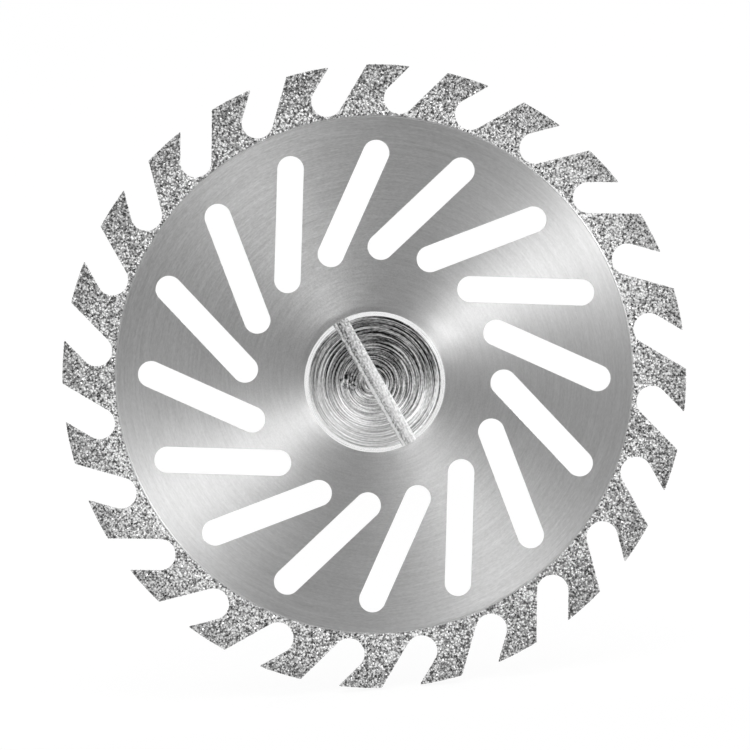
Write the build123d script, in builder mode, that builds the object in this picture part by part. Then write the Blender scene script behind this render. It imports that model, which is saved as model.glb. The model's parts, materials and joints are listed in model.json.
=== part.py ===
from build123d import *
from math import acos, atan, cos, degrees, radians, sin, sqrt
import os

# A double-sided diamond disc clamped on its screw mandrel. It lies as it comes to rest: two
# tooth corners and the far end of the shank touch the ground, so the tool leans back a little.
# Lengths are in millimetres, angles in degrees. Angles on the disc are counted anticlockwise
# from the right, as seen from the front, where the screw head is.

# Disc blank
tip_diameter = 22.0
blank_thickness = 0.15
bore_diameter = 2.0

# Diamond coat, which wraps the rim of the blank and ends a little inside the gullets. It was
# plated a touch off centre, so its inner edge sits high by the shift.
coat_thickness = 0.06
coat_inside_gullets = 0.21
coat_shift = 0.06

# Teeth: the gullets between them are round-bottomed slots that slant off the radius. The
# steel's own gullet bottoms are rings of flats, of which half are left.
tooth_count = 24
gullet_width = 1.09
gullet_depth = 1.71
gullet_slant = 40.45
buried_flats = 12

# Cooling slots, whose outer ends stop a little inside the coat
slot_count = 16
slot_width = 0.93
slot_length = 4.83
slot_slant = 31.0
slot_turn = 2.0
slot_to_coat = 0.75

# Clamp screw
screw_diameter = 1.56
screw_length = 4.0
screw_end_chamfer = 0.2
head_diameter = 4.96
head_height = 1.1
head_chamfer = 0.17
driver_slot_width = 0.56
driver_slot_depth = 0.5
driver_slot_angle = -65.1

# Mandrel
mandrel_length = 43.25
flange_diameter = 5.0
flange_thickness = 1.0
flange_chamfer = 0.15
flange_ledge = 0.6
neck_fillet = 0.4
taper_length = 6.0
shank_diameter = 2.35
shank_chamfer = 0.3
tapping_mouth_chamfer = 0.15
tapping_past_screw = 0.9

# Clearances
thread_clearance = 0.02
bore_clearance = 0.01

tip_radius = tip_diameter / 2
shank_radius = shank_diameter / 2
coated_thickness = blank_thickness + 2 * coat_thickness

# The bore is larger than the screw, and the disc stands on its rim, so the screw and the
# mandrel hang below the middle of the disc by the play.
screw_drop = (bore_diameter - screw_diameter) / 2 - bore_clearance

# Each gullet's two walls meet the tip circle at these angles off the line that stands square
# on the gullet. A gullet's mouth is turned to the ground, and its two corners are the feet.
gullet_bottom_radius = tip_radius - gullet_depth
root_radius = gullet_bottom_radius + gullet_width / 2
gullet_offset = root_radius * sin(radians(gullet_slant))
near_wall = degrees(acos((gullet_offset + gullet_width / 2) / tip_radius))
far_wall = degrees(acos((gullet_offset - gullet_width / 2) / tip_radius))
half_mouth = (far_wall - near_wall) / 2
mouth_to_root = (near_wall + far_wall) / 2 - (90 - gullet_slant)
bottom = 270
first_root_angle = bottom + mouth_to_root

coat_inner_radius = gullet_bottom_radius - coat_inside_gullets

# The middle of each slot's round outer end lies on this circle, and the slot's own middle is
# half its straight run further in.
slot_end_radius = coat_inner_radius - slot_to_coat - slot_width / 2
slot_half_run = (slot_length - slot_width) / 2
slot_sideways = slot_half_run * sin(radians(slot_slant))
slot_outward = slot_half_run * cos(radians(slot_slant))
slot_circle_radius = sqrt(slot_end_radius**2 - slot_sideways**2) - slot_outward

# The lean is set by the two tooth corners, on the back edge of the rim, and by the lower
# edge of the shank's end.
foot_depth = tip_radius * cos(radians(half_mouth))
axis_height = foot_depth - screw_drop
shank_corner = blank_thickness / 2 + mandrel_length - shank_chamfer
feet_to_corner = shank_corner - coated_thickness / 2
lean = atan((axis_height - shank_radius) / feet_to_corner)

front = Vector(0, -cos(lean), sin(lean))
downhill = Vector(0, -sin(lean), -cos(lean))

# The middle of the disc, with the ground at height zero and the tool's whole length centred
centre_height = foot_depth * cos(lean) + coated_thickness / 2 * sin(lean)
rim_reach = foot_depth * sin(lean) + coated_thickness / 2 * cos(lean)
head_reach = (blank_thickness / 2 + head_height) * cos(lean)
front_reach = max(rim_reach, head_reach)
shank_end = blank_thickness / 2 + mandrel_length
end_lift = (shank_radius - shank_chamfer - screw_drop) * sin(lean)
back_reach = shank_end * cos(lean) + end_lift
disc_centre = Vector(0, (front_reach - back_reach) / 2, centre_height)
screw_centre = disc_centre + downhill * screw_drop

disc_plane = Plane(disc_centre, x_dir=(1, 0, 0), z_dir=front)
screw_plane = Plane(screw_centre, x_dir=(1, 0, 0), z_dir=front)
head_seat = screw_plane.offset(blank_thickness / 2)
flange_seat = screw_plane.offset(-blank_thickness / 2)
turning_axis = Axis(screw_centre, front)


def turning_plane(seat):
    """The plane that a turned profile is drawn in: X is the radius and Y the height off the seat."""
    return Plane(seat.origin, x_dir=(1, 0, 0), z_dir=downhill)


def gullet_places():
    """Where the middle of each gullet's round bottom lies."""
    return PolarLocations(root_radius, tooth_count, start_angle=first_root_angle)


def toothed_disc(radius, width):
    """A disc less the straight run of each gullet, from its round bottom out past the rim."""
    Circle(radius)
    with gullet_places():
        Rectangle(
            radius,
            width,
            rotation=-gullet_slant,
            align=(Align.MIN, Align.CENTER),
            mode=Mode.SUBTRACT,
        )


def coat_outline():
    """The finished rim, with the grit on it."""
    toothed_disc(tip_radius, gullet_width)
    with gullet_places():
        Circle(gullet_width / 2, mode=Mode.SUBTRACT)


def blank_outline():
    """The rim of the steel, which stands back from the finished rim by the coat.

    The bottoms of its gullets are buried in the coat, so they are left as a few flats.
    """
    width = gullet_width + 2 * coat_thickness
    toothed_disc(tip_radius - coat_thickness, width)
    with gullet_places():
        RegularPolygon(
            width / 2,
            buried_flats,
            major_radius=False,
            rotation=180 / buried_flats - gullet_slant,
            mode=Mode.SUBTRACT,
        )


os.makedirs("parts", exist_ok=True)

# Disc blank
with BuildPart() as disc_blank:
    with BuildSketch(disc_plane.offset(-blank_thickness / 2)):
        blank_outline()
        with PolarLocations(slot_circle_radius, slot_count, start_angle=slot_turn):
            SlotOverall(slot_length, slot_width, rotation=-slot_slant, mode=Mode.SUBTRACT)
        Circle(bore_diameter / 2, mode=Mode.SUBTRACT)
    extrude(amount=blank_thickness)
disc_blank.part.label = "disc_blank"
export_step(disc_blank.part, "parts/disc_blank.step")

# Diamond coat: the whole rim at its coated thickness, less the room that the blank takes up
with BuildPart() as diamond_coat:
    with BuildSketch(disc_plane.offset(-coated_thickness / 2)):
        coat_outline()
        with Locations((0, coat_shift)):
            Circle(coat_inner_radius, mode=Mode.SUBTRACT)
    extrude(amount=coated_thickness)
    with BuildSketch(disc_plane.offset(-blank_thickness / 2)):
        blank_outline()
    extrude(amount=blank_thickness, mode=Mode.SUBTRACT)
diamond_coat.part.label = "diamond_coat"
export_step(diamond_coat.part, "parts/diamond_coat.step")

# Clamp screw, turned in one piece and slotted across the head
with BuildPart() as clamp_screw:
    with BuildSketch(turning_plane(head_seat)):
        with BuildLine():
            Polyline(
                (0, head_height),
                (head_diameter / 2 - head_chamfer, head_height),
                (head_diameter / 2, head_height - head_chamfer),
                (head_diameter / 2, 0),
                (screw_diameter / 2, 0),
                (screw_diameter / 2, screw_end_chamfer - screw_length),
                (screw_diameter / 2 - screw_end_chamfer, -screw_length),
                (0, -screw_length),
                close=True,
            )
        make_face()
    revolve(axis=turning_axis)
    with BuildSketch(head_seat.offset(head_height)):
        Rectangle(2 * head_diameter, driver_slot_width, rotation=driver_slot_angle)
    extrude(amount=-driver_slot_depth, mode=Mode.SUBTRACT)
clamp_screw.part.label = "clamp_screw"
export_step(clamp_screw.part, "parts/clamp_screw.step")

# Mandrel, turned in one piece and tapped from the front
neck_radius = flange_diameter / 2 - flange_ledge
tapping_radius = screw_diameter / 2 + thread_clearance
with BuildPart() as mandrel:
    with BuildSketch(turning_plane(flange_seat)):
        with BuildLine():
            Polyline(
                (0, 0),
                (flange_diameter / 2, 0),
                (flange_diameter / 2, flange_chamfer - flange_thickness),
                (flange_diameter / 2 - flange_chamfer, -flange_thickness),
                (neck_radius, -flange_thickness),
                (shank_radius, -flange_thickness - taper_length),
                (shank_radius, shank_chamfer - mandrel_length),
                (shank_radius - shank_chamfer, -mandrel_length),
                (0, -mandrel_length),
                close=True,
            )
        make_face()
        neck_corner = vertices().sort_by_distance((neck_radius, -flange_thickness))[0]
        fillet(neck_corner, min(neck_fillet, flange_ledge - flange_chamfer))
    revolve(axis=turning_axis)
    with Locations(flange_seat):
        CounterSinkHole(
            tapping_radius,
            counter_sink_radius=tapping_radius + tapping_mouth_chamfer,
            depth=screw_length - blank_thickness + tapping_past_screw,
            counter_sink_angle=90,
        )
mandrel.part.label = "mandrel"
export_step(mandrel.part, "parts/mandrel.step")
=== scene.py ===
import json
import math

import bmesh
import bpy
import numpy as np
from mathutils import Matrix, Vector

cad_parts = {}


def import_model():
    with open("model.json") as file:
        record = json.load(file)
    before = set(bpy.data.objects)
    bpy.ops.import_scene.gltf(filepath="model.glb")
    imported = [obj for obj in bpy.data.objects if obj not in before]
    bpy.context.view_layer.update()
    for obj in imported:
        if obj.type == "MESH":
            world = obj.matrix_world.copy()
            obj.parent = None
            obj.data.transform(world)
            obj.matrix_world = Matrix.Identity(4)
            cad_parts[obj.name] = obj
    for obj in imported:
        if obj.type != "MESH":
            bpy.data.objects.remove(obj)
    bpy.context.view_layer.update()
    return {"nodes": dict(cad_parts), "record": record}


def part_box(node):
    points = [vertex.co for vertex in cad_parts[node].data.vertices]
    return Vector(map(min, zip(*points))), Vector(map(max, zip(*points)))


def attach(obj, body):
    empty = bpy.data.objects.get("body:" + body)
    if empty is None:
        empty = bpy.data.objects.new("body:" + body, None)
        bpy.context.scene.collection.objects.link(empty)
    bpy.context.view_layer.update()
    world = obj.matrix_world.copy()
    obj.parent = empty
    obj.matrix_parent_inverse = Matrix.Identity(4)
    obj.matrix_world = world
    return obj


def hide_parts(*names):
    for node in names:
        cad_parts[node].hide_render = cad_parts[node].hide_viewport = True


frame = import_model()

# The looks of a double-sided diamond disc on its mandrel. Sizes are in millimetres and angles in
# degrees, anticlockwise from the right as seen from the front. MM turns sizes into metres.
MM = 0.001

# Where the disc and the screw stand. Both face the front, which is where the shank doesn't point.
shank = next(mount for mount in frame["record"]["mounts"] if mount["name"] == "shank")
front = -Vector(shank["axis"])
rightward = Vector((1, 0, 0))
upward = front.cross(rightward)
disc_middle = sum(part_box("diamond_coat"), Vector()) / 2
shank_middle = Vector(shank["pos_m"])
screw_middle = shank_middle + front * (disc_middle - shank_middle).dot(front)
facing = Matrix((rightward, upward, front)).transposed().to_4x4()


def measured(node, middle):
    """The corners of a CAD node in millimetres off the middle, turned so that Z is the front."""
    corners = np.array([v.co for v in frame["nodes"][node].data.vertices])
    return (corners - np.array(middle)) @ np.array(facing.to_3x3()) / MM


def farthest(corners):
    """How far from the axis the outermost corner lies."""
    return float(np.hypot(corners[:, 0], corners[:, 1]).max())


coat_corners = measured("diamond_coat", disc_middle)
blank_corners = measured("disc_blank", disc_middle)
screw_corners = measured("clamp_screw", screw_middle)
mandrel_corners = measured("mandrel", screw_middle)

tip_radius = farthest(coat_corners)
coat_top = float(coat_corners[:, 2].max())
blank_top = float(blank_corners[:, 2].max())
head_radius = farthest(screw_corners)
head_top = float(screw_corners[:, 2].max())
screw_end = float(screw_corners[:, 2].min())
flange_radius = farthest(mandrel_corners)
mandrel_end = float(mandrel_corners[:, 2].min())

# Disc
bore_radius = 1.0
tooth_count = 24
gullet_width = 1.09
gullet_depth = 1.71
gullet_slant = 40.45
coat_inside_gullets = 0.21
coat_shift = 0.06
slot_count = 16
slot_width = 0.93
slot_length = 4.83
slot_slant = 31.0
slot_turn = 2.0
slot_to_coat = 0.75
edge_break = 0.008

# Screw and mandrel
screw_radius = 0.78
screw_end_chamfer = 0.2
head_chamfer = 0.17
driver_slot_width = 0.56
driver_slot_depth = 0.5
driver_slot_angle = -65.1
flange_thickness = 1.0
flange_chamfer = 0.15
flange_ledge = 0.6
neck_fillet = 0.4
taper_length = 6.0
shank_radius = 1.175
shank_chamfer = 0.3
tapping_mouth_chamfer = 0.15
tapping_past_screw = 0.9
thread_clearance = 0.02

# The grooves that the grinding wheel left on the disc and the facing tool on the head lean
# outwards by this much, and the head's own face is tilted a little towards an angle.
groove_lean = 1.5
facing_lean = 7.2
face_tilt = 3.6
face_tilt_angle = 190.0

# The grinding marks on the disc are faintest on both sides of its middle along this angle.
worn_angle = 25.0

# Diamond coat: crystals set in a nickel bond, with a bare bright lip along its inner edge
bond_below_grit = 0.03
lip_width = 0.04
lip_rounding = 0.015

# The crystals come in a few shapes, each a block whose corners are shaken by a share of its
# size. Each one's size is the grain size times a number between two limits. They lie on a
# lattice that is shaken by a share of its spacing. Their middles are sunk below the coat's
# outside by a share of their size, and on the faces some stand a little higher than others.
grain_size = 0.092
grain_limits_on_faces = (0.75, 1.3)
grain_limits_on_edges = (0.7, 1.15)
grain_shapes = 24
corner_shake = 0.13
grain_spacing = 0.087
lattice_shake = 0.42
sunk_in_faces = 0.42
sunk_in_edges = 0.48
standing = (-0.012, 0.008)

# The saw left a ledge along the driver slot's lower left wall, and a floor that curves up
# towards the other one.
ledge_width = 0.125
ledge_height = 0.14
floor_slant = 6.5

# The rings on the head are turned about a point off its middle, and drift back to it outwards.
# They are cut deepest towards one angle, and shade is painted on the steel towards another. The
# tool has torn it at one place near the middle.
ring_drift = (-0.12, -0.05)
deepest_angle = 64.0
painted_shade_angle = 100.0
torn_patch = (-0.83, 0.16)

# How finely the meshes are drawn: how far apart the points of a curve may lie, how many corners
# go round each turned piece, how sharply an edge has to turn to stay sharp, and how short it has
# to be to be cleared away
curve_step = 0.05
fine_step = 0.03
finest_step = 0.02
corners_round_screw = 240
corners_round_mandrel = 128
slot_floor_points = 12
taper_levels = 12
shank_levels = 40
sharp_angle = 30.0
sliver = 0.0002

# What follows from the values above: the gullets, the coat's inner edge and the circle of the
# slots. A gullet's mouth is turned to the ground, and its two corners are the disc's feet.
gullet_bottom_radius = tip_radius - gullet_depth
root_radius = gullet_bottom_radius + gullet_width / 2
coat_inner_radius = gullet_bottom_radius - coat_inside_gullets
gullet_offset = root_radius * math.sin(math.radians(gullet_slant))
near_wall = math.degrees(math.acos((gullet_offset + gullet_width / 2) / tip_radius))
far_wall = math.degrees(math.acos((gullet_offset - gullet_width / 2) / tip_radius))
first_root_angle = 270 + (near_wall + far_wall) / 2 - (90 - gullet_slant)
coat_centre = complex(0, coat_shift)

slot_end_radius = coat_inner_radius - slot_to_coat - slot_width / 2
slot_half_run = (slot_length - slot_width) / 2
slot_sideways = slot_half_run * math.sin(math.radians(slot_slant))
slot_outward = slot_half_run * math.cos(math.radians(slot_slant))
slot_circle_radius = math.sqrt(slot_end_radius**2 - slot_sideways**2) - slot_outward


# Outlines on the disc. A point is a complex number, X and Y in millimetres.

def polar(radius, angle):
    """The point at a radius and an angle in degrees."""
    return radius * np.exp(1j * np.radians(angle))


def arc(centre, radius, start, end, step):
    """Points along an arc, no more than a step apart."""
    count = max(2, math.ceil(radius * abs(math.radians(end - start)) / step) + 1)
    return centre + polar(radius, np.linspace(start, end, count))


def circle(centre, radius, step):
    """A full circle as a closed run of points."""
    return arc(centre, radius, 0, 360, step)[:-1]


def bearing(point):
    """The angle in degrees at which a point lies off the disc's middle."""
    return math.degrees(math.atan2(point.imag, point.real))


def gullet_roots():
    """Each gullet's round bottom: the middle of its arc, and the angle that it opens towards."""
    for number in range(tooth_count):
        angle = first_root_angle + number * 360 / tooth_count
        yield polar(root_radius, angle), angle - gullet_slant


def mouth_corner(root, opening, side, radius, half_width):
    """Where one wall of a gullet meets the rim."""
    along = polar(1, opening)
    start = root + side * half_width * along * 1j
    down = (start * along.conjugate()).real
    return start + along * (math.sqrt(radius**2 - abs(start) ** 2 + down**2) - down)


def toothed_rim(inset, step):
    """The rim with its teeth, drawn in by an inset, as one closed run of points."""
    radius = tip_radius - inset
    half_width = gullet_width / 2 + inset
    gullets = []
    for root, opening in gullet_roots():
        near = mouth_corner(root, opening, -1, radius, half_width)
        bottom = arc(root, half_width, opening - 90, opening - 270, step)
        far = mouth_corner(root, opening, 1, radius, half_width)
        gullets.append((near, bottom, far))
    rim = []
    for number, (near, bottom, far) in enumerate(gullets):
        following = gullets[(number + 1) % tooth_count][0]
        land = (bearing(following) - bearing(far)) % 360
        tooth = arc(0, radius, bearing(far), bearing(far) + land, step)[:-1]
        rim += [[near], bottom, tooth]
    return np.concatenate(rim)


def cooling_slots(inset, step):
    """The round-ended slots, each a closed run of points."""
    radius = slot_width / 2 + inset
    for number in range(slot_count):
        angle = slot_turn + number * 360 / slot_count
        middle = polar(slot_circle_radius, angle)
        lie = angle - slot_slant
        half_run = polar(slot_half_run, lie)
        outer_end = arc(middle + half_run, radius, lie - 90, lie + 90, step)
        inner_end = arc(middle - half_run, radius, lie + 90, lie + 270, step)
        yield np.concatenate((outer_end, inner_end))


# Pieces

def reworked(mesh, change):
    """A mesh after a change that Blender's mesh tools make to it."""
    work = bmesh.new()
    work.from_mesh(mesh)
    change(work)
    work.to_mesh(mesh)
    work.free()
    return mesh


def face_outwards(work):
    bmesh.ops.recalc_face_normals(work, faces=work.faces)


def join_corners(work):
    bmesh.ops.remove_doubles(work, verts=work.verts, dist=sliver)


def clear_slivers(work):
    bmesh.ops.dissolve_degenerate(work, dist=sliver * MM, edges=work.edges)
    bmesh.ops.triangulate(work, faces=work.faces)


def closed(mesh):
    """A closed mesh with its faces turned outwards."""
    return reworked(mesh, face_outwards)


def smooth(mesh):
    """A closed mesh shaded smooth, but for its edges."""
    mesh.polygons.foreach_set("use_smooth", np.ones(len(mesh.polygons), bool))
    mesh.set_sharp_from_angle(angle=math.radians(sharp_angle))
    return closed(mesh)


def place(name, mesh, middle, finish, slot, *nodes, laid=False):
    """Puts a mesh drawn in millimetres on its middle, and hides the CAD nodes that it stands for.

    The piece's own Z axis is the front. A laid piece keeps the scene's axes.
    """
    stand = Matrix.Translation(middle) @ facing
    mesh.transform(Matrix.Scale(MM, 4))
    piece = bpy.data.objects.new(name, mesh)
    bpy.context.scene.collection.objects.link(piece)
    if laid:
        mesh.transform(stand)
    else:
        piece.matrix_world = stand
    mesh.materials.append(finish)
    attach(piece, "root")
    if nodes:
        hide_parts(*nodes)
    return piece


def cut_away(piece, tool):
    """What is left of a piece once a tool's form, a closed mesh in millimetres, is out of it."""
    tool.transform(Matrix.Scale(MM, 4))
    cutter = bpy.data.objects.new(tool.name, tool)
    bpy.context.scene.collection.objects.link(cutter)
    cutter.matrix_world = piece.matrix_world
    cut = piece.modifiers.new(tool.name, "BOOLEAN")
    cut.operation = "DIFFERENCE"
    cut.solver = "EXACT"
    cut.material_mode = "TRANSFER"
    cut.object = cutter
    bpy.context.view_layer.update()
    left = piece.evaluated_get(bpy.context.evaluated_depsgraph_get())
    mesh = bpy.data.meshes.new_from_object(left)
    piece.modifiers.clear()
    bpy.data.objects.remove(cutter)
    return reworked(mesh, clear_slivers)


def plate(name, rims, half_thickness, rounding):
    """A flat plate from closed runs of points, the first outside and the rest holes."""
    drawing = bpy.data.curves.new(name, "CURVE")
    drawing.dimensions = "2D"
    drawing.fill_mode = "BOTH"
    drawing.extrude = half_thickness - rounding
    drawing.bevel_depth = rounding
    drawing.bevel_resolution = 3
    for rim in rims:
        run = drawing.splines.new("POLY")
        run.points.add(len(rim) - 1)
        flat = np.zeros((len(rim), 4), np.float32)
        flat[:, 0], flat[:, 1], flat[:, 3] = rim.real, rim.imag, 1
        run.points.foreach_set("co", flat.ravel())
        run.use_cyclic_u = True
    holder = bpy.data.objects.new(name, drawing)
    mesh = bpy.data.meshes.new_from_object(holder)
    bpy.data.objects.remove(holder)
    bpy.data.curves.remove(drawing)
    return closed(reworked(mesh, join_corners))


def turned(name, profile, around):
    """A turned form from a profile of (radius, height) that starts and ends on the axis."""
    radii, heights = np.array(profile, float).T
    angles = np.arange(around) * 2 * math.pi / around
    r = np.repeat(radii[1:-1], around)
    z = np.repeat(heights[1:-1], around)
    a = np.tile(angles, len(radii) - 2)
    ring = np.column_stack((r * np.cos(a), r * np.sin(a), z))
    corners = np.vstack(((0, 0, heights[0]), ring, (0, 0, heights[-1])))
    beside = np.arange(around)
    after = (beside + 1) % around
    last = len(corners) - 1
    faces = [(0, 1 + i, 1 + j) for i, j in zip(beside, after)]
    for level in range(len(radii) - 3):
        low, high = 1 + level * around, 1 + (level + 1) * around
        faces += [(low + i, high + i, high + j, low + j) for i, j in zip(beside, after)]
    low = 1 + (len(radii) - 3) * around
    faces += [(low + i, last, low + j) for i, j in zip(beside, after)]
    mesh = bpy.data.meshes.new(name)
    mesh.from_pydata(corners, [], faces)
    return smooth(mesh)


# Finishes

class Wire:
    """A value on its way through a finish. Arithmetic on it adds the Math nodes it needs."""

    def __init__(self, finish, socket):
        self.finish = finish
        self.socket = socket

    def maths(self, operation, *others):
        return self.finish.maths(operation, self, *others)

    def __add__(self, other):
        return self.finish.maths("ADD", self, other)

    def __radd__(self, other):
        return self.finish.maths("ADD", other, self)

    def __sub__(self, other):
        return self.finish.maths("SUBTRACT", self, other)

    def __rsub__(self, other):
        return self.finish.maths("SUBTRACT", other, self)

    def __mul__(self, other):
        return self.finish.maths("MULTIPLY", self, other)

    def __rmul__(self, other):
        return self.finish.maths("MULTIPLY", other, self)

    def __truediv__(self, other):
        return self.finish.maths("DIVIDE", self, other)


class Finish:
    """A material, or the world, with the nodes that make it."""

    def __init__(self, owner):
        owner.use_nodes = True
        self.owner = owner
        self.tree = owner.node_tree
        self.tree.nodes.clear()

    def node(self, kind, inputs=(), out=0, **settings):
        """Adds a node: its settings first, then the values or wires of its inputs."""
        made = self.tree.nodes.new("ShaderNode" + kind)
        for setting, value in settings.items():
            if setting == "stops":
                self.stops(made.color_ramp, value)
            else:
                setattr(made, setting, value)
        for name, value in dict(inputs).items():
            if isinstance(value, Wire):
                self.tree.links.new(value.socket, made.inputs[name])
            else:
                made.inputs[name].default_value = value
        return Wire(self, made.outputs[out]) if len(made.outputs) else made

    def stops(self, ramp, stops):
        """Sets a ramp to pairs of a place and a grey."""
        while len(ramp.elements) < len(stops):
            ramp.elements.new(0.5)
        for element, (position, value) in zip(ramp.elements, stops):
            element.position = position
            element.color = (value, value, value, 1)

    def maths(self, operation, *values):
        return self.node("Math", enumerate(values), operation=operation)

    def vector(self, x, y, z):
        return self.node("CombineXYZ", {"X": x, "Y": y, "Z": z})

    def coordinates(self, place, axes):
        """The coordinates of a place along each of some axes, in millimetres."""
        return [self.node("SeparateXYZ", {"Vector": place}, out=axis) / MM for axis in axes]

    def noise(self, vector, scale, detail=2):
        return self.node("TexNoise", {"Vector": vector, "Scale": scale, "Detail": detail})

    def ramp(self, value, *stops):
        return self.node("ValToRGB", {"Fac": value}, stops=stops)

    def between(self, value, none_at, all_at):
        """Nothing at one value and all at another, and an even change between the two."""
        inputs = {"Value": value, "From Min": none_at, "From Max": all_at}
        return self.node("MapRange", inputs)

    def bump(self, height, distance, strength=1, normal=None):
        inputs = {"Height": height, "Distance": distance, "Strength": strength}
        if normal is not None:
            inputs["Normal"] = normal
        return self.node("Bump", inputs)

    def surface(self, shader):
        kind = "OutputWorld" if isinstance(self.owner, bpy.types.World) else "OutputMaterial"
        self.node(kind, {"Surface": shader})
        return self.owner

    def metal(self, **inputs):
        """A metal surface. An input is named in small letters, as base_color."""
        named = {name.replace("_", " ").title(): value for name, value in inputs.items()}
        return self.surface(self.node("BsdfPrincipled", {"Metallic": 1.0, **named}))


def new_finish(name):
    return Finish(bpy.data.materials.new(name))


def swing(noise, amount):
    """Noise as a change about nothing, by up to half the amount either way."""
    return (noise - 0.5) * amount


def kept_between(value, lowest, highest):
    """A value that stops at a lowest and a highest one."""
    return value.maths("MAXIMUM", lowest).maths("MINIMUM", highest)


def distance_off(x, y):
    """How far off the axis a place lies, from how far right and how far up it lies."""
    return (x * x + y * y).maths("SQRT")


def round_the_axis(finish, laid=False, drift=(0, 0)):
    """The radius and the height in millimetres, and the direction off the axis, right and up.

    A piece may be laid in the scene's axes. Its rings may drift off its middle.
    """
    place = finish.node("TexCoord", out="Object")
    if laid:
        off = finish.node("VectorMath", {0: place, 1: tuple(screw_middle)}, operation="SUBTRACT")
        turn = -front.angle(Vector((0, 0, 1)))
        place = finish.node("VectorRotate", {"Vector": off, "Angle": turn}, rotation_type="X_AXIS")
    x, y, z = finish.coordinates(place, "XYZ")
    if any(drift):
        middle = 1 - distance_off(x, y) / head_radius
        x = x - middle * drift[0]
        y = y - middle * drift[1]
    radius = distance_off(x, y)
    # A micrometre more keeps the direction from failing on the axis itself
    length = radius + 0.001
    return radius, z, x / length, y / length


def ring_marks(finish, around, across, along, detail=3):
    """Noise drawn out round the axis: marks to the millimetre across, to the radian along."""
    radius, height, right, up = around
    inputs = {
        "Vector": finish.vector(radius * across, right * along, up * along),
        "W": height * across,
        "Scale": 1.0,
        "Detail": detail,
        "Roughness": 0.6,
    }
    return finish.node("TexNoise", inputs, noise_dimensions="4D")


def towards(around, angle):
    """How far the direction off the axis points towards an angle: from -1 to 1."""
    _, _, right, up = around
    return right * math.cos(math.radians(angle)) + up * math.sin(math.radians(angle))


def disc_steel():
    """Blank steel, ground round its middle and left with fine short scratches."""
    finish = new_finish("ground_steel")
    around = round_the_axis(finish)
    grind = ring_marks(finish, around, across=13, along=4)
    scratches = ring_marks(finish, around, across=22, along=60, detail=2)
    cloud = ring_marks(finish, around, across=0.9, along=1.6)
    worn = towards(around, worn_angle)
    depth = (1 + towards(around, worn_angle + 100) * 0.15) * (1 - worn * worn * 0.4)
    marks = swing(grind, 0.3) + swing(scratches, 0.3)
    lean = finish.bump(around[0] * -math.tan(math.radians(groove_lean)), MM)
    return finish.metal(
        base_color=0.60 + marks * depth + swing(cloud, 0.04),
        roughness=0.34 + swing(cloud, 0.05) + swing(grind, 0.03),
        anisotropic=0.8,
        anisotropic_rotation=0.25,
        normal=finish.bump(grind * 0.5 + scratches * 0.5, 0.007 * MM, 0.4, lean),
    )


def nickel_bond():
    """The plated nickel, dull and creeping up round the crystals, and bright along its lip."""
    finish = new_finish("nickel_bond")
    place = finish.node("TexCoord", out="Object")
    creep = finish.between(finish.noise(place, 11 / MM, 3), 0.36, 0.64)
    x, y = finish.coordinates(place, "XY")
    inside = distance_off(x, y - coat_shift) - coat_inner_radius
    lip = finish.between(inside, 2 * lip_width, 0.8 * lip_width)
    return finish.metal(
        base_color=(0.13 + creep * 0.52) * (1.17 - inside * 0.2) * (1 - lip) + lip * 0.58,
        roughness=0.42 + swing(creep, 0.1),
        anisotropic=0.8,
        anisotropic_rotation=0.25,
        normal=finish.bump(creep * (1 - lip) + lip * 1.6, 0.01 * MM),
    )


def diamond_grit():
    """Crystals that differ in tone, from smoky to clear. Those nearer the rim are darker."""
    finish = new_finish("diamond_crystals")
    tone = finish.node("Attribute", out="Fac", attribute_name="grain_tone")
    place = finish.node("TexCoord", out="Object")
    flecks = finish.noise(place, 30 / MM)
    shade = finish.ramp(tone, (0.0, 0.02), (0.25, 0.12), (0.5, 0.8), (1.0, 1.0))
    lighter_inwards = (tip_radius - round_the_axis(finish)[0]) * 0.28
    return finish.metal(
        base_color=(shade * (0.69 + flecks * 0.2 + lighter_inwards)).maths("MINIMUM", 1.0),
        metallic=0.2,
        roughness=0.2 + flecks * 0.15,
        normal=finish.bump(flecks, 0.006 * MM),
    )


def faced_steel():
    """The head: rings that drift off its middle, a torn patch, a burnished chamfer, and shade
    painted on one side.
    """
    finish = new_finish("faced_steel")
    around = round_the_axis(finish, drift=ring_drift)
    cuts = ring_marks(finish, around, across=22, along=1.2, detail=0)
    bands = ring_marks(finish, around, across=4, along=0.9, detail=1)
    tears = ring_marks(finish, around, across=24, along=14)
    specks = ring_marks(finish, around, across=9, along=7, detail=1)
    ring, height, right, up = around
    share = round_the_axis(finish)[0] / head_radius

    # The chamfer, and no more of the head's side, is burnished
    rim = 1 - head_chamfer / head_radius
    foot = head_top - head_chamfer
    outermost = finish.between(share, rim + 0.004, rim + 0.01)
    burnished = outermost * finish.between(height, foot - 0.01, foot)

    # The marks of the tool, and coarse specks where it tore the steel
    depth = 0.27 + 0.63 * finish.between(towards(around, deepest_angle) * share, -0.65, 0.6)
    off_patch = distance_off(ring * right - torn_patch[0], ring * up - torn_patch[1])
    torn = finish.between(off_patch + swing(tears, 0.6), 0.36, 0.24)
    marks = swing(cuts, 2.4) + swing(tears, 1.4) + swing(bands, 0.5)
    marks = marks * depth + torn * (swing(specks, 2.2) - 0.15)

    # How light the face is under its marks: lighter outwards, with shade painted in towards one
    # side
    level = 0.56 + finish.between(share, 0.3, 0.9) * 0.12
    level = (level - towards(around, painted_shade_angle) * share * 0.25).maths("MINIMUM", 0.75)
    shade = kept_between(level + marks, 0.12, 0.97)

    # The face is a flat cone, tilted a little
    lean = towards(around, face_tilt_angle) * math.tan(math.radians(face_tilt))
    reach = ring.maths("MINIMUM", head_radius - head_chamfer)
    slope = reach * (lean + math.tan(math.radians(facing_lean))) * -1
    return finish.metal(
        base_color=shade * shade * (1 - burnished) + burnished * 0.9,
        roughness=0.33 + swing(tears, 0.1) - burnished * 0.14,
        normal=finish.bump(cuts * 0.7 + tears * 0.3, 0.008 * MM, 1, finish.bump(slope, MM)),
    )


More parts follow.
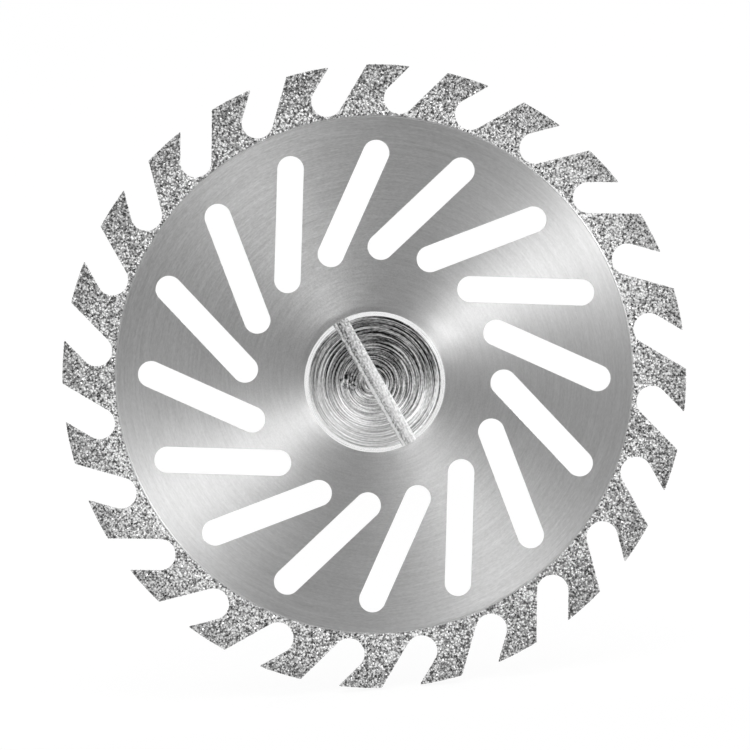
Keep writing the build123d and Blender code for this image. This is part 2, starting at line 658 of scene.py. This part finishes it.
def shank_steel():
    """Steel ground round the shank."""
    finish = new_finish("turned_shank_steel")
    around = round_the_axis(finish, laid=True)
    marks = ring_marks(finish, around, across=7, along=1)
    tears = ring_marks(finish, around, across=18, along=8)
    return finish.metal(
        base_color=0.55 + swing(marks, 0.4) + swing(tears, 0.2),
        roughness=0.27 + swing(tears, 0.12),
        normal=finish.bump(marks * 0.6 + tears * 0.4, 0.004 * MM, 0.6),
    )


def sawn_steel():
    """The driver slot, left rough by the saw, with shade painted at the foot of its walls."""
    finish = new_finish("sawn_steel")
    place = finish.node("TexCoord", out="Object")
    turn = math.radians(-driver_slot_angle)
    along = finish.node("VectorRotate", {"Vector": place, "Angle": turn}, rotation_type="Z_AXIS")
    x, y = finish.coordinates(along, "XY")
    lines = finish.noise(finish.vector(x * 4, y * 16, 0.0), 1.0, 3)
    pits = finish.noise(finish.vector(x * 12, y * 14, 0.0), 1.0)

    # Shade is painted on the left wall and at the foot of the ledge, and the slot is darker
    # towards its upper end
    from_left = y + driver_slot_width / 2
    wall = finish.between(from_left, 0.05, 0.01)
    ledge = finish.between(from_left, ledge_width, ledge_width - 0.01)
    foot = finish.between(from_left, ledge_width + 0.2, ledge_width) * (1 - ledge)
    upper_end = finish.between(x, 0.3, -2.3)
    painted_shade_and_dark_end = wall * 0.6 + foot * (1.35 - pits * 1.6) + upper_end * (0.9 - pits)
    tone = 0.82 + ledge * 0.12 + swing(lines, 0.9) + swing(pits, 0.9) - painted_shade_and_dark_end * 0.6
    return finish.metal(
        base_color=kept_between(tone, 0.06, 0.95),
        roughness=0.34 + swing(lines, 0.2),
        normal=finish.bump(lines * 0.6 + pits * 0.4, 0.01 * MM, 0.6),
    )


# Disc

def blank_rim():
    """The rim of the steel, which stands back from the finished rim by the coat."""
    return toothed_rim(coat_top - blank_top + edge_break, curve_step)


def disc_plate():
    """The toothed blank with its cooling slots and its bore, each edge lightly broken."""
    bore = circle(0, bore_radius + edge_break, curve_step)
    rims = [blank_rim(), *cooling_slots(edge_break, fine_step), bore]
    mesh = plate("disc_plate", rims, blank_top, edge_break)
    place("disc_plate", mesh, disc_middle, disc_steel(), "disc_steel", "disc_blank")


def nickel_coat():
    """The plating that holds the grit, a shell round the rim of the steel.

    Its inner edge is a smooth rounded lip on the steel.
    """
    bond_top = coat_top - bond_below_grit
    rim = toothed_rim(bond_below_grit / 2 + lip_rounding, fine_step)
    lip = circle(coat_centre, coat_inner_radius + lip_rounding, curve_step)
    mesh = plate("nickel_coat", [rim, lip], bond_top, lip_rounding)
    finish = nickel_bond()
    coat = place("nickel_coat", mesh, disc_middle, finish, "diamond_grit", "diamond_coat")
    steel = plate("steel_in_coat", [blank_rim()], blank_top, edge_break)
    coat.data = closed(cut_away(coat, steel))


def room_in_coat(points, lip=0):
    """How far each point lies inside the coat's outline: less than nothing outside it."""
    inner = np.abs(points - coat_centre) - coat_inner_radius - lip
    room = np.minimum(tip_radius - np.abs(points), inner)
    for root, opening in gullet_roots():
        off = (points - root) * polar(1, -opening)
        beyond = np.where(off.real < 0, np.abs(off), np.abs(off.imag))
        room = np.minimum(room, beyond - gullet_width / 2)
    return room


def crystals(draw):
    """The crystal shapes, of size one: blocks with their eight corners shaken, as triangles."""
    corners = np.array([(x, y, z) for x in (-1, 1) for y in (-1, 1) for z in (-1, 1)], float)
    made = []
    for _ in range(grain_shapes):
        work = bmesh.new()
        shake = draw.uniform(-corner_shake, corner_shake, (8, 3))
        for corner in corners / math.sqrt(3) * 0.5 + shake:
            work.verts.new(corner)
        bmesh.ops.convex_hull(work, input=work.verts)
        bmesh.ops.triangulate(work, faces=work.faces)
        work.verts.index_update()
        if len(work.verts) == 8 and len(work.faces) == 12:
            points = np.array([v.co for v in work.verts])
            made.append((points, np.array([[v.index for v in f.verts] for f in work.faces])))
        work.free()
    return made


def random_turns(count, draw):
    """Rotation matrices that are even over all directions."""
    q = draw.normal(size=(count, 4))
    w, x, y, z = (q / np.linalg.norm(q, axis=1)[:, None]).T
    return np.stack(
        [
            np.stack([1 - 2 * (y * y + z * z), 2 * (x * y - z * w), 2 * (x * z + y * w)], 1),
            np.stack([2 * (x * y + z * w), 1 - 2 * (x * x + z * z), 2 * (y * z - x * w)], 1),
            np.stack([2 * (x * z - y * w), 2 * (y * z + x * w), 1 - 2 * (x * x + y * y)], 1),
        ],
        1,
    )


def grit(name, centres, sizes, finish, seed):
    """One piece of many crystals, each with a tone of its own."""
    draw = np.random.default_rng(seed)
    shapes = crystals(draw)
    kind = draw.integers(len(shapes), size=len(centres))
    turns = random_turns(len(centres), draw)
    tones = draw.uniform(0, 1, len(centres)).astype(np.float32)
    corners = np.concatenate([shapes[k][0] for k in kind]).reshape(-1, 8, 3)
    corners = np.einsum("nij,nkj->nki", turns, corners) * sizes[:, None, None] + centres[:, None]
    faces = np.concatenate([shapes[k][1] + 8 * number for number, k in enumerate(kind)])
    mesh = bpy.data.meshes.new(name)
    mesh.from_pydata(corners.reshape(-1, 3), [], faces)
    tone = mesh.attributes.new("grain_tone", "FLOAT", "POINT")
    tone.data.foreach_set("value", np.repeat(tones, 8))
    mesh.validate()
    place(name, mesh, disc_middle, finish, "diamond_grit")


def scattered(width, height, draw):
    """Where crystals lie over a rectangle: on a shaken triangular lattice."""
    row = grain_spacing * math.sqrt(3) / 2
    x, y = np.meshgrid(np.arange(0, width, grain_spacing), np.arange(0, height, row))
    x = x + (np.arange(len(x)) % 2)[:, None] * grain_spacing / 2
    shake = draw.uniform(-lattice_shake, lattice_shake, (2, *x.shape)) * grain_spacing
    return (x + shake[0]).ravel(), (y + shake[1]).ravel()


def face_grit(name, side, finish, seed):
    """The grit on one face of the disc. A crystal near the coat's outline is a smaller one."""
    draw = np.random.default_rng(seed)
    x, y = scattered(2 * tip_radius, 2 * tip_radius, draw)
    points = x + 1j * y - (1 + 1j) * tip_radius
    sizes = grain_size * draw.uniform(*grain_limits_on_faces, len(points))
    room = room_in_coat(points, lip_width)
    keep = room > 0.3 * sizes
    points, sizes, room = points[keep], sizes[keep], room[keep]
    sizes = np.minimum(sizes, 1.8 * room)
    heights = side * (coat_top - sizes * sunk_in_faces + draw.uniform(*standing, len(sizes)))
    centres = np.column_stack((points.real, points.imag, heights))
    grit(name, centres, sizes, finish, seed + 1)


def edge_grit(finish, seed):
    """The grit on the lands and down the walls of the gullets, strewn along the rim's run."""
    draw = np.random.default_rng(seed)
    rim = toothed_rim(0, finest_step)
    ahead = np.roll(rim, -1) - rim

    # How far along the rim its points lie, and how far along and how high the crystals lie
    run = np.concatenate(([0], np.cumsum(np.abs(ahead))))
    along, heights = scattered(run[-1], 2 * coat_top, draw)
    keep = (along < run[-1]) & (along > 0)
    along, heights = along[keep], heights[keep] - coat_top
    step = np.searchsorted(run, along) - 1
    direction = ahead[step] / np.abs(ahead[step])
    sizes = grain_size * draw.uniform(*grain_limits_on_edges, len(along))
    outward = -1j * direction
    points = rim[step] + direction * (along - run[step]) - outward * sizes * sunk_in_edges
    sizes = np.minimum(sizes, 2.1 * room_in_coat(points))
    keep = sizes > grain_size / 3
    points, sizes, heights = points[keep], sizes[keep], heights[keep]
    limit = coat_top - sizes * 0.4
    heights = np.clip(heights, -limit, limit)
    centres = np.column_stack((points.real, points.imag, heights))
    grit("grit_edge", centres, sizes, finish, seed + 1)


# Screw and mandrel

def clamp_screw():
    """The turned screw with its faced head, and the driver slot sawn across it."""
    profile = [
        (0, head_top),
        (head_radius - head_chamfer, head_top),
        (head_radius, head_top - head_chamfer),
        (head_radius, blank_top),
        (screw_radius, blank_top),
        (screw_radius, screw_end + screw_end_chamfer),
        (screw_radius - screw_end_chamfer, screw_end),
        (0, screw_end),
    ]
    mesh = turned("clamp_screw_turned", profile, corners_round_screw)
    finish = faced_steel()
    screw = place(
        "clamp_screw_turned", mesh, screw_middle, finish, "screw_steel", "clamp_screw"
    )
    saw_driver_slot(screw)


def saw_driver_slot(screw):
    """Takes the driver slot out of the head, with the ledge and the curved floor the saw left."""
    deepest = head_top - driver_slot_depth
    above_head = head_top + driver_slot_depth
    left, right = -driver_slot_width / 2, driver_slot_width / 2
    curve = np.linspace(left + ledge_width, right, slot_floor_points)
    bend = math.tan(math.radians(floor_slant)) / (2 * (right - curve[0]))
    section = [(left, deepest + ledge_height), (curve[0], deepest + ledge_height)]
    section += [(y, deepest + bend * (y - curve[0]) ** 2) for y in curve]
    section += [(right, above_head), (left, above_head)]
    reach = 1.5 * head_radius
    corners = [(x, y, z) for x in (-reach, reach) for y, z in section]
    count = len(section)
    faces = [tuple(range(count)), tuple(range(count, 2 * count))]
    faces += [(i, count + i, count + (i + 1) % count, (i + 1) % count) for i in range(count)]
    mesh = bpy.data.meshes.new("driver_slot_cutter")
    mesh.from_pydata(corners, [], faces)
    mesh.transform(Matrix.Rotation(math.radians(driver_slot_angle), 4, "Z"))
    mesh.materials.append(sawn_steel())
    screw.data = smooth(cut_away(screw, closed(mesh)))


def mandrel():
    """The turned mandrel, tapped from the front. Its neck runs into a long taper."""
    seat = -blank_top
    under = seat - flange_thickness
    tapping_radius = screw_radius + thread_clearance
    tapping_end = screw_end - tapping_past_screw
    neck_radius = flange_radius - flange_ledge
    taper = math.degrees(math.atan((neck_radius - shank_radius) / taper_length))
    fillet = min(neck_fillet, flange_ledge - flange_chamfer)
    setback = fillet * math.tan(math.radians(45 - taper / 2))
    fillet_middle = complex(neck_radius + setback, under - fillet)
    neck = arc(fillet_middle, fillet, 90, 180 - taper, curve_step)
    taper_end = complex(shank_radius, under - taper_length)
    shank_end = complex(shank_radius, mandrel_end + shank_chamfer)
    profile = [
        (0, tapping_end),
        (tapping_radius, tapping_end),
        (tapping_radius, seat - tapping_mouth_chamfer),
        (tapping_radius + tapping_mouth_chamfer, seat),
        (flange_radius, seat),
        (flange_radius, under + flange_chamfer),
        (flange_radius - flange_chamfer, under),
    ]
    taper_run = np.linspace(neck[-1], taper_end, taper_levels)[1:]
    shank_run = np.linspace(taper_end, shank_end, shank_levels)[1:]
    profile += [(point.real, point.imag) for point in (*neck, *taper_run, *shank_run)]
    profile += [(shank_radius - shank_chamfer, mandrel_end), (0, mandrel_end)]
    mesh = turned("mandrel_turned", profile, corners_round_mandrel)
    finish = shank_steel()
    place("mandrel_turned", mesh, screw_middle, finish, "mandrel_steel", "mandrel", laid=True)


disc_plate()
nickel_coat()
grit_finish = diamond_grit()
face_grit("grit_front", 1, grit_finish, seed=11)
face_grit("grit_back", -1, grit_finish, seed=21)
edge_grit(grit_finish, seed=31)
clamp_screw()
mandrel()


# Studio

# How the photograph is framed, in pixels: where the disc's middle lies and how far its tips
# reach. The camera stands well back, in millimetres, and is rolled.
picture_width = 750
disc_pixel = (374.29, 376.07)
disc_radius_pixels = 312.0
camera_distance = 450.0
camera_roll = 4.87

# The lamps stand this far from the disc's middle, and the round walls on both sides of it. From
# here on, lengths without MM are in metres.
lamp_distance = 0.6
wall_distance = 0.95
wall_radius = 1.15
wall_step = 0.1


def camera():
    """Looks straight at the disc's face through a long lens."""
    roll = math.radians(camera_roll)
    right = math.cos(roll) * rightward - math.sin(roll) * upward
    up = math.sin(roll) * rightward + math.cos(roll) * upward
    pixel = tip_radius / disc_radius_pixels
    aside = (picture_width / 2 - disc_pixel[0]) * pixel
    above = (disc_pixel[1] - picture_width / 2) * pixel
    lens = bpy.data.cameras.new("camera")
    lens.sensor_width = 36.0
    lens.lens = lens.sensor_width * camera_distance / (picture_width * pixel)
    lens.clip_start = 10 * MM
    lens.clip_end = 20
    holder = bpy.data.objects.new("camera", lens)
    bpy.context.scene.collection.objects.link(holder)
    aim = disc_middle + (right * aside + up * above) * MM
    stand = Matrix((right, up, front)).transposed().to_4x4()
    holder.matrix_world = Matrix.Translation(aim + front * camera_distance * MM) @ stand
    bpy.context.scene.camera = holder


def lamp(name, azimuth, lean, width, height, brightness):
    """A softbox, placed by its angle round the disc as photographed and its lean off the axis.

    Its height points away from the axis, and its width lies round it. It throws no shadow,
    because the head's would lie across the steel as dark bands.
    """
    light = bpy.data.lights.new(name, "AREA")
    light.shape = "RECTANGLE"
    light.size = width
    light.size_y = height
    light.energy = brightness * math.pi * width * height
    light.use_shadow = False
    holder = bpy.data.objects.new(name, light)
    bpy.context.scene.collection.objects.link(holder)
    turn = math.radians(azimuth - camera_roll)
    tilt = math.radians(lean)
    side = rightward * math.cos(turn) + upward * math.sin(turn)
    away = front * math.cos(tilt) + side * math.sin(tilt)
    outward = side * math.cos(tilt) - front * math.sin(tilt)
    stand = Matrix((outward.cross(away), outward, away)).transposed().to_4x4()
    holder.matrix_world = Matrix.Translation(disc_middle + away * lamp_distance) @ stand
    holder.visible_camera = False


def white_where_seen(finish):
    """One on rays from the camera and on those that metal and glass send on, and else nothing."""
    seen = finish.node("LightPath", out="Is Camera Ray")
    glossy = finish.node("LightPath", out="Is Glossy Ray")
    through = finish.node("LightPath", out="Is Transmission Ray")
    return seen.maths("MAXIMUM", glossy).maths("MAXIMUM", through)


def flat_sheet(name, corners, finish):
    """One flat face through its corners."""
    mesh = bpy.data.meshes.new(name)
    mesh.from_pydata(corners, [], [tuple(range(len(corners)))])
    mesh.materials.append(finish)
    piece = bpy.data.objects.new(name, mesh)
    bpy.context.scene.collection.objects.link(piece)
    return piece


def floor_white():
    """A pale finish that shows white, with a little of the shadow left on it.

    In full light its two parts add up to white, and in shadow the plain one falls short.
    """
    finish = new_finish("floor_white")
    plain = finish.node("BsdfDiffuse", {"Color": (0.9, 0.9, 0.9, 1)})
    white = finish.node("Emission", {"Strength": 1.05})
    share_of_white = white_where_seen(finish) * 0.82
    return finish.surface(finish.node("MixShader", {0: share_of_white, 1: plain, 2: white}))


def even_glow(name, brightness):
    """A finish that shines evenly."""
    finish = new_finish(name)
    return finish.surface(finish.node("Emission", {"Strength": brightness}))


def floor():
    """The floor. It starts close in front of the disc's feet, so little of it shows below them."""
    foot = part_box("diamond_coat")[0].y
    near, far = foot - 0.004, foot + 2.0
    left, right = -2.0, 2.0
    corners = [(left, near, 0), (right, near, 0), (right, far, 0), (left, far, 0)]
    flat_sheet("floor", corners, floor_white())


def card(name, corners, stand, brightness):
    """A flat card that the object mirrors and the camera doesn't see."""
    piece = flat_sheet(name, corners, even_glow(name, brightness))
    piece.matrix_world = stand
    piece.visible_camera = False


def dim_wall(name, distance):
    """A dim round wall square to the disc's axis, for one of its faces to look out at."""
    rim = circle(0, wall_radius, wall_step)
    stand = Matrix.Translation(disc_middle + front * distance) @ facing
    card(name, [(p.real, p.imag, 0) for p in rim], stand, brightness=0.26)


def dark_card(name, x):
    """A dark upright card beside the shank, behind the disc, which gives the shank its form."""
    near, far, low, high = 0.12, 1.2, 0.04, 0.4
    corners = [(x, near, low), (x, far, low), (x, far, high), (x, near, high)]
    card(name, corners, Matrix.Identity(4), brightness=0.06)


def world():
    """A white tent all round."""
    finish = Finish(bpy.data.worlds.new("studio"))
    tent = finish.node("Background", {"Color": (1, 1, 1, 1), "Strength": 1.0})
    bpy.context.scene.world = finish.surface(tent)


camera()
floor()
dim_wall("dim_wall_in_front", wall_distance)
dim_wall("dim_wall_behind", -wall_distance)
dark_card("dark_card_left", x=-0.45)
dark_card("dark_card_right", x=0.45)
world()
lamp("lamp_upper_right", azimuth=32, lean=42, width=0.11, height=0.14, brightness=29.4)
lamp("lamp_upper_left", azimuth=122, lean=35, width=0.11, height=0.24, brightness=1.5)
lamp("lamp_lower_left", azimuth=212, lean=20, width=0.07, height=0.14, brightness=7.4)
lamp("lamp_lower_right", azimuth=303, lean=18, width=0.07, height=0.14, brightness=7.1)

bpy.context.scene.view_settings.view_transform = "Standard"
